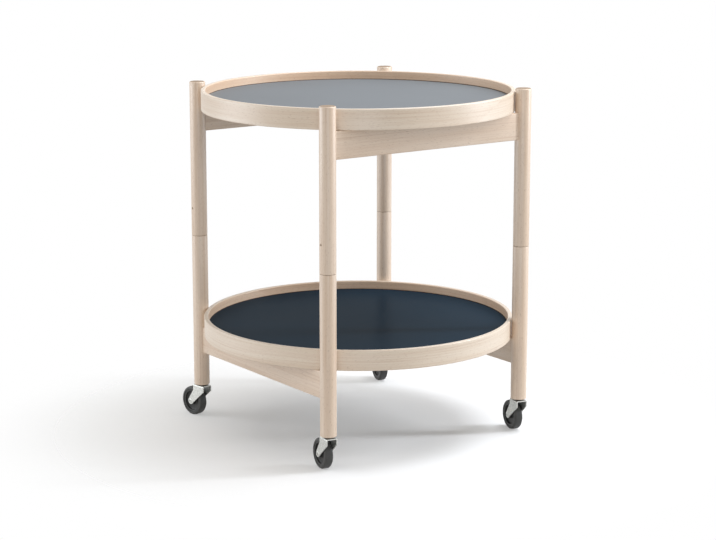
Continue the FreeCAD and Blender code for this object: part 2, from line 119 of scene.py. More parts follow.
class Graph:
    """One node material, built socket by socket."""

    def __init__(self, name: str) -> None:
        """Start a material with its own shader node.

        Args:
            name: The material's name.
        """
        self.material = bpy.data.materials.new(name)
        self.material.use_nodes = True
        self.tree = self.material.node_tree
        self.shader = self.tree.nodes["Principled BSDF"]

    def add(self, kind: str, **settings: object) -> bpy.types.Node:
        """Add a node.

        Args:
            kind: The node's type.
            settings: Properties to set on it.

        Returns:
            The new node.
        """
        node = self.tree.nodes.new(kind)
        for key, setting in settings.items():
            setattr(node, key, setting)
        return node

    def feed(self, target: bpy.types.NodeSocket, source: object) -> None:
        """Link a socket to another one, or set its value.

        Args:
            target: The socket that is fed.
            source: An output to link, or a plain value.
        """
        if isinstance(source, bpy.types.NodeSocket):
            self.tree.links.new(source, target)
        else:
            target.default_value = source

    def stretched(self, vector: bpy.types.NodeSocket, factors: Corner) -> bpy.types.NodeSocket:
        """Multiply a vector by a factor for each axis.

        Args:
            vector: The vector.
            factors: One factor for each axis.

        Returns:
            The stretched vector.
        """
        node = self.add("ShaderNodeVectorMath", operation="MULTIPLY")
        self.feed(node.inputs[0], vector)
        self.feed(node.inputs[1], factors)
        return node.outputs[0]

    def fibres(self) -> bpy.types.NodeSocket:
        """Read the grain directions that are stored on a wooden mesh.

        Returns:
            The way along, across and through the fibres.
        """
        return self.add("ShaderNodeAttribute", attribute_name=GRAIN).outputs["Vector"]

    def place(self) -> bpy.types.NodeSocket:
        """Read the place on the object.

        Returns:
            The place in the object's own axes.
        """
        return self.add("ShaderNodeTexCoord").outputs["Object"]

    def noise(self, vector: bpy.types.NodeSocket, detail: float, rough: float = 0.5) -> bpy.types.NodeSocket:
        """Make soft noise at unit scale.

        Args:
            vector: Where to sample it.
            detail: How many finer layers it has.
            rough: How strong these are.

        Returns:
            The noise, about 0 to 1.
        """
        node = self.add("ShaderNodeTexNoise", noise_dimensions="3D")
        self.feed(node.inputs["Vector"], vector)
        self.feed(node.inputs["Scale"], 1.0)
        self.feed(node.inputs["Detail"], detail)
        self.feed(node.inputs["Roughness"], rough)
        return node.outputs["Fac"]

    def span(self, source: bpy.types.NodeSocket, low: float, high: float,
             start: float = 0.0, end: float = 1.0) -> bpy.types.NodeSocket:
        """Spread a stretch of values over another one, held at its ends.

        Args:
            source: The value.
            low: Where the stretch starts.
            high: Where it ends.
            start: What the low end becomes.
            end: What the high end becomes.

        Returns:
            The new value.
        """
        node = self.add("ShaderNodeMapRange", clamp=True)
        for key, number in (("From Min", low), ("From Max", high), ("To Min", start), ("To Max", end)):
            self.feed(node.inputs[key], number)
        self.feed(node.inputs["Value"], source)
        return node.outputs["Result"]

    def blend(self, share: bpy.types.NodeSocket, first: object, second: object) -> bpy.types.NodeSocket:
        """Mix two colours by a share.

        Args:
            share: How much of the second colour there is.
            first: The first colour.
            second: The second colour.

        Returns:
            The mixed colour.
        """
        node = self.add("ShaderNodeMix", data_type="RGBA")
        self.feed(node.inputs["Factor"], share)
        self.feed(node.inputs[6], first)
        self.feed(node.inputs[7], second)
        return node.outputs[2]

    def combine(self, operation: str, first: object, second: object) -> bpy.types.NodeSocket:
        """Do one sum on two numbers.

        Args:
            operation: The sum's name.
            first: The first number.
            second: The second number.

        Returns:
            The outcome.
        """
        node = self.add("ShaderNodeMath", operation=operation)
        self.feed(node.inputs[0], first)
        self.feed(node.inputs[1], second)
        return node.outputs[0]

    def relief(self, height: bpy.types.NodeSocket, depth: float, strength: float) -> None:
        """Give the surface a fine relief.

        Args:
            height: The relief, 0 to 1.
            depth: How high 1 stands, in metres.
            strength: How much of it shows.
        """
        node = self.add("ShaderNodeBump")
        self.feed(node.inputs["Strength"], strength)
        self.feed(node.inputs["Distance"], depth)
        self.feed(node.inputs["Height"], height)
        self.feed(self.shader.inputs["Normal"], node.outputs["Normal"])

    def surface(self, **inputs: object) -> bpy.types.Material:
        """Set or link the shader's inputs.

        Args:
            inputs: Values or outputs by the input's name, with _ for a space.

        Returns:
            The material.
        """
        for key, source in inputs.items():
            self.feed(self.shader.inputs[key.replace("_", " ")], source)
        return self.material


@dataclass(frozen=True)
class BeechFinish:
    """Pale, lightly bleached beech under a clear satin lacquer."""

    name: str = "pale_beech"
    pale: Colour = tone(231, 212, 193)
    warm: Colour = tone(220, 196, 172)
    line: Colour = tone(190, 155, 124)
    fleck: Colour = tone(150, 115, 86)
    cloud_scale: Corner = (3.0, 60.0, 60.0)
    line_scale: Corner = (5.0, 430.0, 430.0)
    fibre_scale: Corner = (34.0, 2300.0, 2300.0)
    fleck_scale: Corner = (180.0, 1300.0, 1300.0)
    cloud_window: Flat = (0.34, 0.68)
    line_window: Flat = (0.50, 0.74)
    fibre_window: Flat = (0.40, 0.85)
    fleck_window: Flat = (0.63, 0.75)
    line_share: float = 0.46
    fibre_share: float = 0.28
    fleck_share: float = 0.46
    relief_depth: float = 0.00006
    relief_strength: float = 0.5
    sheen_window: Flat = (0.3, 0.8)
    sheen: Flat = (0.38, 0.48)
    gloss: float = 1.0
    lacquer: float = 1.6

    def material(self) -> bpy.types.Material:
        """Build the wood: slow clouds of tone, growth lines, fine fibres and short ray flecks.

        Returns:
            The material.
        """
        graph = Graph(self.name)
        fibres = graph.fibres()
        cloud = graph.noise(graph.stretched(fibres, self.cloud_scale), 3.0)
        lines = graph.noise(graph.stretched(fibres, self.line_scale), 2.0)
        fine = graph.noise(graph.stretched(fibres, self.fibre_scale), 2.0, 0.6)
        fleck = graph.noise(graph.stretched(fibres, self.fleck_scale), 1.0)
        colour = graph.blend(graph.span(cloud, *self.cloud_window), self.pale, self.warm)
        colour = graph.blend(graph.span(lines, *self.line_window, 0.0, self.line_share), colour, self.line)
        colour = graph.blend(graph.span(fine, *self.fibre_window, 0.0, self.fibre_share), colour, self.line)
        speck = graph.span(fleck, *self.fleck_window, 0.0, self.fleck_share)
        colour = graph.blend(speck, colour, self.fleck)
        graph.relief(graph.combine("SUBTRACT", fine, speck), self.relief_depth, self.relief_strength)
        return graph.surface(Base_Color=colour, Roughness=graph.span(fine, *self.sheen_window, *self.sheen),
                             Specular_IOR_Level=self.gloss, IOR=self.lacquer)


@dataclass(frozen=True)
class EndGrainFinish:
    """The sawn end of a beech leg: arcs of growth rings and darker pores."""

    name: str = "beech_end"
    light: Colour = tone(160, 136, 112)
    ring: Colour = tone(134, 107, 82)
    pore: Colour = tone(108, 84, 63)
    pith: Corner = (0.0, 0.046, 0.021)
    ring_width: float = 0.0022
    pore_scale: Corner = (60.0, 2600.0, 2600.0)
    wander_scale: Corner = (1.0, 190.0, 190.0)
    wander_rings: float = 1.3
    ring_window: Flat = (0.55, 1.0)
    ring_share: float = 0.8
    pore_window: Flat = (0.55, 0.75)
    pore_share: float = 0.7
    roughness: float = 0.55

    def material(self) -> bpy.types.Material:
        """Build the end grain, with rings about a pith that lies outside the leg.

        Returns:
            The material.
        """
        graph = Graph(self.name)
        fibres = graph.fibres()
        flat = graph.stretched(fibres, (0.0, 1.0, 1.0))
        reach = graph.add("ShaderNodeVectorMath", operation="DISTANCE")
        graph.feed(reach.inputs[0], flat)
        graph.feed(reach.inputs[1], self.pith)
        wander = graph.noise(graph.stretched(fibres, self.wander_scale), 2.0)
        course = graph.combine("ADD", graph.combine("MULTIPLY", reach.outputs["Value"], 1 / self.ring_width),
                               graph.combine("MULTIPLY", wander, self.wander_rings))
        band = graph.combine("FRACT", course, 0.0)
        colour = graph.blend(graph.span(band, *self.ring_window, 0.0, self.ring_share), self.light, self.ring)
        pores = graph.noise(graph.stretched(fibres, self.pore_scale), 1.0)
        colour = graph.blend(graph.span(pores, *self.pore_window, 0.0, self.pore_share), colour, self.pore)
        return graph.surface(Base_Color=colour, Roughness=self.roughness)


@dataclass(frozen=True)
class LaminateFinish:
    """Smooth satin laminate in one colour."""

    name: str
    deep: Colour
    light: Colour
    roughness: float
    specular: float
    cloud_scale: float = 7.0
    cloud_window: Flat = (0.3, 0.7)
    rough_drift: Flat = (-0.02, 0.03)

    def material(self) -> bpy.types.Material:
        """Build the laminate, with hardly any drift of tone and sheen.

        Returns:
            The material.
        """
        graph = Graph(self.name)
        place = graph.place()
        cloud = graph.noise(graph.stretched(place, (self.cloud_scale,) * 3), 2.0)
        colour = graph.blend(graph.span(cloud, *self.cloud_window), self.deep, self.light)
        rough = graph.span(cloud, *self.cloud_window, *(self.roughness + drift for drift in self.rough_drift))
        return graph.surface(Base_Color=colour, Roughness=rough, Specular_IOR_Level=self.specular)


@dataclass(frozen=True)
class MetalFinish:
    """Plated or drawn steel with faint stains and fine scratches."""

    name: str
    bright: Colour
    dull: Colour
    low_rough: float = 0.24
    high_rough: float = 0.40
    stain_scale: float = 260.0
    scratch_scale: Corner = (900.0, 900.0, 5200.0)
    stain_window: Flat = (0.35, 0.7)
    rough_window: Flat = (0.3, 0.75)
    scratch_depth: float = 0.00002
    scratch_strength: float = 0.3

    def material(self) -> bpy.types.Material:
        """Build the metal: stains of tone and roughness, and a fine brushed relief.

        Returns:
            The material.
        """
        graph = Graph(self.name)
        place = graph.place()
        stain = graph.noise(graph.stretched(place, (self.stain_scale,) * 3), 3.0)
        scratch = graph.noise(graph.stretched(place, self.scratch_scale), 2.0)
        colour = graph.blend(graph.span(stain, *self.stain_window), self.bright, self.dull)
        graph.relief(scratch, self.scratch_depth, self.scratch_strength)
        rough = graph.span(stain, *self.rough_window, self.low_rough, self.high_rough)
        return graph.surface(Base_Color=colour, Metallic=1.0, Roughness=rough)


@dataclass(frozen=True)
class MouldedFinish:
    """Dark moulded rubber or plastic with a fine skin and a little dust."""

    name: str
    dark: Colour
    dusty: Colour
    roughness: float
    skin_scale: float = 1500.0
    dust_scale: float = 120.0
    dust_window: Flat = (0.45, 0.8)
    dust_share: float = 0.7
    rough_window: Flat = (0.3, 0.8)
    rough_drift: Flat = (-0.05, 0.12)
    relief_depth: float = 0.00005
    relief_strength: float = 0.35

    def material(self) -> bpy.types.Material:
        """Build the moulding: faint dust, and a skin in relief.

        Returns:
            The material.
        """
        graph = Graph(self.name)
        place = graph.place()
        dust = graph.noise(graph.stretched(place, (self.dust_scale,) * 3), 4.0, 0.6)
        skin = graph.noise(graph.stretched(place, (self.skin_scale,) * 3), 2.0)
        colour = graph.blend(graph.span(dust, *self.dust_window, 0.0, self.dust_share), self.dark, self.dusty)
        graph.relief(skin, self.relief_depth, self.relief_strength)
        rough = graph.span(dust, *self.rough_window, *(self.roughness + drift for drift in self.rough_drift))
        return graph.surface(Base_Color=colour, Roughness=rough)


@dataclass(frozen=True)
class BoardFinish:
    """Raw fibre board, as the core of the trays has it."""

    name: str = "core_fibre"
    light: Colour = tone(176, 146, 112)
    dark: Colour = tone(140, 110, 80)
    fuzz_scale: Corner = (700.0, 700.0, 1800.0)
    fuzz_window: Flat = (0.3, 0.7)
    roughness: float = 0.8

    def material(self) -> bpy.types.Material:
        """Build the board from fine fibre noise.

        Returns:
            The material.
        """
        graph = Graph(self.name)
        fuzz = graph.noise(graph.stretched(graph.place(), self.fuzz_scale), 4.0, 0.7)
        colour = graph.blend(graph.span(fuzz, *self.fuzz_window), self.light, self.dark)
        return graph.surface(Base_Color=colour, Roughness=self.roughness)


class Finishes:
    """All finishes of the table, by the slots of the record."""

    def __init__(self) -> None:
        """Build every material once."""
        self.by_slot = {
            "beech": BeechFinish().material(),
            "core_board": BoardFinish().material(),
            "grey_laminate": LaminateFinish("grey_blue_laminate", tone(127, 131, 135),
                                            tone(132, 136, 140), 0.44, 0.012).material(),
            "navy_laminate": LaminateFinish("navy_laminate", tone(33, 50, 64), tone(36, 53, 67),
                                            0.31, 0.0036).material(),
            "steel": MetalFinish("drawn_steel", tone(176, 176, 178), tone(150, 150, 152)).material(),
            "dowel": EndGrainFinish(name="dowel_end", light=tone(150, 126, 100),
                                    ring=tone(120, 96, 72)).material(),
            "zinc_steel": MetalFinish("bright_zinc", tone(214, 214, 208), tone(178, 179, 176), 0.40, 0.55,
                                      600.0).material(),
            "socket_plastic": MouldedFinish("socket_plastic", tone(34, 32, 31), tone(52, 49, 46),
                                            0.55).material(),
            "wheel_plastic": MouldedFinish("wheel_plastic", tone(46, 46, 45), tone(70, 70, 67),
                                           0.42).material(),
            "tyre_rubber": MouldedFinish("tyre_rubber", tone(48, 48, 47), tone(74, 74, 70), 0.50).material(),
        }
        self.end_grain = EndGrainFinish().material()
        self.rim = BeechFinish("rim_beech", tone(233, 219, 202), tone(221, 202, 181),
                               tone(198, 167, 137)).material()
        # The rim's inside gets a warmer, more orange copy of the beech: painted shade, the warm bounce light
        # inside the tray.
        self.inner_rim_painted_shade = BeechFinish("inner_rim_beech_painted_shade", tone(239, 210, 182), tone(229, 195, 164),
                                      tone(207, 162, 125)).material()
        # Dark brown for the joint round the pin ends, for the glue line at the panels' edges, which it darkens
        # into painted contact shade, and for the rivet hollows, where it is painted shade.
        self.seam = MouldedFinish("dark_joint_and_shade", tone(70, 55, 42), tone(88, 70, 54), 0.8).material()

    def dress_nodes(self) -> None:
        """Give every node of the frame the finish of its slot."""
        for row in frame["record"]["subparts"]:
            for place in frame["nodes"][row["node"]].material_slots:
                place.material = self.by_slot[row["material_slot"]]


def rounded(corners: Sequence[Corner], steps: int, closed: bool = True) -> list[Flat]:
    """Round the corners of an outline with arcs.

    Args:
        corners: Points with the radius of each corner, 0 for a sharp one.
        steps: Steps of each arc.
        closed: Whether the last corner joins the first.

    Returns:
        The points of the rounded outline.
    """
    points: list[Flat] = []
    count = len(corners)
    for number, (across, up, radius) in enumerate(corners):
        inner = closed or 0 < number < count - 1
        if radius <= 0 or not inner:
            points.append((across, up))
            continue
        here = Vector((across, up))
        back = (Vector(corners[number - 1][:2]) - here).normalized()
        onward = (Vector(corners[(number + 1) % count][:2]) - here).normalized()
        half = back.angle(onward) / 2
        reach = radius / math.tan(half)
        centre = here + (back + onward).normalized() * (radius / math.sin(half))
        first = here + back * reach - centre
        last = here + onward * reach - centre
        sweep = first.angle_signed(last)
        for step in range(steps + 1):
            turned = first.copy()
            turned.rotate(Matrix.Rotation(-sweep * step / steps, 2))
            points.append(tuple(centre + turned))
    return points


def divided(outline: Sequence[Flat], step: float) -> list[Flat]:
    """Split the long sides of a closed outline.

    Args:
        outline: The points of the outline.
        step: How long a side may be.

    Returns:
        The outline with more points on its long sides.
    """
    points: list[Flat] = []
    for start, end in zip(outline, [*outline[1:], outline[0]]):
        parts = max(1, math.ceil(math.dist(start, end) / step))
        for part in range(parts):
            share = part / parts
            points.append((start[0] + share * (end[0] - start[0]), start[1] + share * (end[1] - start[1])))
    return points


def lathe(name: str, outline: Sequence[Flat], segments: int, closed: bool, lean: float = 0.0) -> bpy.types.Mesh:
    """Turn an outline of radius and height about Z.

    Args:
        name: The mesh's name.
        outline: Points of radius and height.
        segments: Steps round the axis.
        closed: Whether the outline is a ring's section, and not one that starts and ends on the axis.
        lean: How far the columns of faces lean, in radians for each metre of height.

    Returns:
        The mesh.
    """
    form = bmesh.new()
    rings = []
    for radius, height in outline:
        if radius <= 0:
            rings.append([form.verts.new((0, 0, height))])
            continue
        angles = [FULL_TURN * step / segments + lean * height for step in range(segments)]
        rings.append([form.verts.new((radius * math.cos(a), radius * math.sin(a), height)) for a in angles])
    pairs = list(zip(rings, rings[1:] + rings[:1] if closed else rings[1:]))
    for low, high in pairs:
        for step in range(segments):
            after = (step + 1) % segments
            spots = [low[step % len(low)], low[after % len(low)], high[after % len(high)], high[step % len(high)]]
            unique = list(dict.fromkeys(spots))
            form.faces.new(unique)
    return to_mesh(form, name)


def to_mesh(form: bmesh.types.BMesh, name: str, sharp: float = SHARP_EDGE) -> bpy.types.Mesh:
    """Close a form into a smooth mesh with sharp edges where it bends hard.

    Args:
        form: The form, which is freed.
        name: The mesh's name.
        sharp: The angle from which an edge is sharp.

    Returns:
        The mesh.
    """
    bmesh.ops.recalc_face_normals(form, faces=form.faces)
    mesh = bpy.data.meshes.new(name)
    form.to_mesh(mesh)
    form.free()
    mesh.shade_smooth()
    mesh.set_sharp_from_angle(angle=sharp)
    return mesh


def sweep(name: str, section: Sequence[Flat], low: float, high: float) -> bpy.types.Mesh:
    """Run a closed section of Y and Z straight along X.

    Args:
        name: The mesh's name.
        section: Points of the section.
        low: Where it starts.
        high: Where it ends.

    Returns:
        The mesh, with closed ends.
    """
    form = bmesh.new()
    ends = [[form.verts.new((x, across, up)) for across, up in section] for x in (low, high)]
    count = len(section)
    for step in range(count):
        after = (step + 1) % count
        form.faces.new((ends[0][step], ends[0][after], ends[1][after], ends[1][step]))
    for end in ends:
        form.faces.new(end)
    return to_mesh(form, name)


def lay_grain(mesh: bpy.types.Mesh, run: GrainRun, seed: float, lean: float = 0.0) -> None:
    """Store on a mesh how its fibres run: along, across and through, in metres.

    Args:
        mesh: The mesh.
        run: The way of the fibres.
        seed: A shift along the tree, so that no two pieces are alike.
        lean: How far a bent strip's lap joint leans, in radians for each metre of height.
    """
    layer = mesh.attributes.new(GRAIN, "FLOAT_VECTOR", "CORNER")
    for face in mesh.polygons:
        middle = face.center
        middle_turn = (math.atan2(middle.y, middle.x) - lean * middle.z) % FULL_TURN
        for loop in face.loop_indices:
            spot = mesh.vertices[mesh.loops[loop].vertex_index].co
            if run is GrainRun.UP:
                fibres = (spot.z, spot.x, spot.y)
            elif run is GrainRun.ALONG_X:
                fibres = (spot.x, spot.y, spot.z)
            elif run is GrainRun.ALONG_Y:
                fibres = (spot.y, spot.x, spot.z)
            else:
                radius = math.hypot(spot.x, spot.y)
                turn = math.atan2(spot.y, spot.x) - lean * spot.z
                turn += FULL_TURN * round((middle_turn - turn) / FULL_TURN)
                fibres = (turn * radius, spot.z, radius)
            layer.data[loop].vector = (fibres[0] + seed, fibres[1] + seed * SEED_ACROSS,
                                       fibres[2] + seed * SEED_THROUGH)


def new_piece(name: str, mesh: bpy.types.Mesh, finishes: Sequence[bpy.types.Material], body: str,
              nodes: Sequence[str], place: Optional[Matrix] = None) -> bpy.types.Object:
    """Put a mesh into the scene as a piece that rides on a body and stands for nodes.

    Args:
        name: The piece's name.
        mesh: Its mesh.
        finishes: Its materials.
        body: The body that carries it.
        nodes: The nodes that it stands for.
        place: Where it stands.

    Returns:
        The piece.
    """
    for finish in finishes:
        mesh.materials.append(finish)
    thing = bpy.data.objects.new(name, mesh)
    bpy.context.scene.collection.objects.link(thing)
    if place is not None:
        thing.matrix_world = place
    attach(thing, body)
    if nodes:
        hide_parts(*nodes)
    log.info("%s rides on %s, %d faces", name, body, len(mesh.polygons))
    return thing


def joint_row(name: str) -> dict:
    """Find a joint of the record by name.

    Args:
        name: The joint's name.

    Returns:
        The joint's row.
    """
    return next(row for row in frame["record"]["behaviour"]["joints"] if row["name"] == name)


@dataclass
class Tray:
    """A round tray: a bent rim with a lap joint, on the frame's own panel."""

    name: str
    seed: float
    finishes: Finishes
    thickness: float = 0.007
    edge: float = 0.0014
    segments: int = 320
    row_height: float = 0.0012
    # The dark ring where the panel meets the rim: a glue joint, darkened as painted contact shade.
    seam: float = 0.0008
    joint_shade_sunk: float = 0.2
    joint_shade_lip: float = 0.1
    joint_shade_waist: Flat = (0.3, 0.4)
    lap_length: float = 0.075
    arc_steps: int = 6

    def build(self) -> None:
        """Build and dress the rim."""
        low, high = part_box(f"{self.name}_rim")
        outside = min(high.x, high.y, -low.x, -low.y)
        inside = outside - self.thickness
        outline = rounded(((inside, low.z, self.edge), (outside, low.z, self.edge),
                           (outside, high.z, self.edge), (inside, high.z, self.edge)), self.arc_steps)
        lean = self.lap_length / outside / (high.z - low.z)
        mesh = lathe(f"{self.name}_bent_rim", divided(outline, self.row_height), self.segments, True, lean)
        lay_grain(mesh, GrainRun.ROUND, self.seed, lean)
        # Faces on the rim's inside take the warmer beech copy, which paints the shade inside the tray.
        for face in mesh.polygons:
            face.material_index = int(face.center.xy.length < inside + 0.5 * self.edge)
        new_piece(f"{self.name}_bent_rim", mesh, [self.finishes.rim, self.finishes.inner_rim_painted_shade], self.name,
                  [f"{self.name}_rim"])
        panel = [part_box(f"{self.name}_{face}_laminate") for face in ("grey", "navy")]
        # Dark rings at the panel's edge on both faces: painted contact shade along the glue joint.
        self.build_joint_shade("top", inside, max(box[1].z for box in panel), self.seam)
        self.build_joint_shade("bottom", inside, min(box[0].z for box in panel), -self.seam)

    def build_joint_shade(self, side: str, inside: float, level: float, rise: float) -> None:
        """Build and dress the dark line where the panel meets the rim: a glue joint, darkened to paint the contact
        shade there.

        Args:
            side: The panel's side, for the name.
            inside: The rim's inside radius.
            level: The height of the panel's face.
            rise: How far the line climbs the rim, below 0 on the underside.
        """
        sunk = self.joint_shade_sunk * rise
        waist, waist_rise = self.joint_shade_waist
        outline = [(inside + abs(sunk), level - sunk), (inside - abs(rise), level - sunk),
                   (inside - abs(rise), level + self.joint_shade_lip * rise),
                   (inside - waist * abs(rise), level + waist_rise * rise),
                   (inside, level + rise), (inside + abs(sunk), level + rise)]
        mesh = lathe(f"{self.name}_{side}_seam", outline, self.segments, True)
        new_piece(f"{self.name}_{side}_seam", mesh, [self.finishes.seam], self.name, [])


@dataclass
class Rail:
    """A flat rail with softened edges between two legs."""

    name: str
    body: str
    run: GrainRun
    seed: float
    finishes: Finishes
    edge: float = 0.0016
    thickness: float = 0.009
    arc_steps: int = 5

    def build(self) -> None:
        """Build and dress the rail."""
        low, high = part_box(self.name)
        middle = (low + high) / 2
        half = self.thickness / 2
        section = rounded(((-half, low.z, self.edge), (half, low.z, self.edge),
                           (half, high.z, self.edge), (-half, high.z, self.edge)), self.arc_steps)
        along_x = self.run is GrainRun.ALONG_X
        reach = (high.x - low.x if along_x else high.y - low.y) / 2
        mesh = sweep(f"{self.name}_board", section, -reach, reach)
        turn = Matrix.Identity(4) if along_x else Matrix.Rotation(math.pi / 2, 4, "Z")
        mesh.transform(Matrix.Translation((middle.x, middle.y, 0)) @ turn)
        lay_grain(mesh, self.run, self.seed)
        new_piece(f"{self.name}_board", mesh, [self.finishes.by_slot["beech"]], self.body, [self.name])


@dataclass
class Leg:
    """A turned leg in two halves, with the end of the pin that holds its pivot."""

    corner: str
    seed: float
    finishes: Finishes
    top_round: float = 0.0022
    joint_bevel: float = 0.0009
    foot_round: float = 0.001
    segments: int = 72
    arc_steps: int = 6
    half_shift: float = 0.9
    end_slope: float = 0.9
    pin_segments: int = 32
    pin_radius: float = 0.0020
    # Width of the dark joint ring round the pin end.
    dark_joint_and_shade: float = 0.0004
    pin_proud: float = 0.00006

    def build(self) -> None:
        """Build both halves and the pin end."""
        self.build_half("upper", TOP_BODY[self.corner], self.joint_bevel, self.top_round)
        self.build_half("lower", BOTTOM_BODY[self.corner], self.foot_round, self.joint_bevel)
        self.build_pin()

    def build_half(self, half: str, body: str, low_edge: float, high_edge: float) -> None:
        """Build and dress one half.

        Args:
            half: Upper or lower.
            body: The body that carries it.
            low_edge: How far its lower edge is softened.
            high_edge: How far its upper edge is softened.
        """
        node = f"{self.corner}_{half}_leg"
        low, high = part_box(node)
        middle = (low + high) / 2
        radius = (high.x - low.x) / 2
        length = high.z - low.z
        outline = rounded(((0, 0, 0), (radius, 0, low_edge), (radius, length, high_edge), (0, length, 0)),
                          self.arc_steps, False)
        mesh = lathe(f"{node}_turned", outline, self.segments, False)
        lay_grain(mesh, GrainRun.UP, self.seed + (self.half_shift if half == "lower" else 0.0))
        thing = new_piece(f"{node}_turned", mesh, [self.finishes.by_slot["beech"], self.finishes.end_grain],
                          body, [node], Matrix.Translation((middle.x, middle.y, low.z)))
        for face in thing.data.polygons:
            face.material_index = int(abs(face.normal.z) > self.end_slope)

    def build_pin(self) -> None:
        """Build and dress the end of the cross pin, a small dowel in a fine dark seam."""
        node = f"{self.corner}_cross_pin"
        low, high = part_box(node)
        leg_low, leg_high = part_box(f"{self.corner}_upper_leg")
        side = -1 if (low + high).x < (leg_low + leg_high).x else 1
        face = low.x if side < 0 else high.x
        depth = high.x - low.x
        ring = self.pin_radius - self.dark_joint_and_shade
        outline = [(0, 0), (self.pin_radius, 0), (self.pin_radius, depth - self.pin_proud),
                   (ring, depth), (0, depth)]
        mesh = lathe(f"{node}_dowel", outline, self.pin_segments, False)
        lay_grain(mesh, GrainRun.UP, self.seed)
        lying = Matrix.Rotation(side * math.pi / 2, 4, "Y")
        place = Matrix.Translation((face - side * depth, (low.y + high.y) / 2, (low.z + high.z) / 2)) @ lying
        thing = new_piece(f"{node}_dowel", mesh, [self.finishes.by_slot["dowel"], self.finishes.seam],
                          TOP_BODY[self.corner], [node], place)
        for polygon in thing.data.polygons:
            polygon.material_index = int(abs(polygon.normal.z) < self.end_slope)


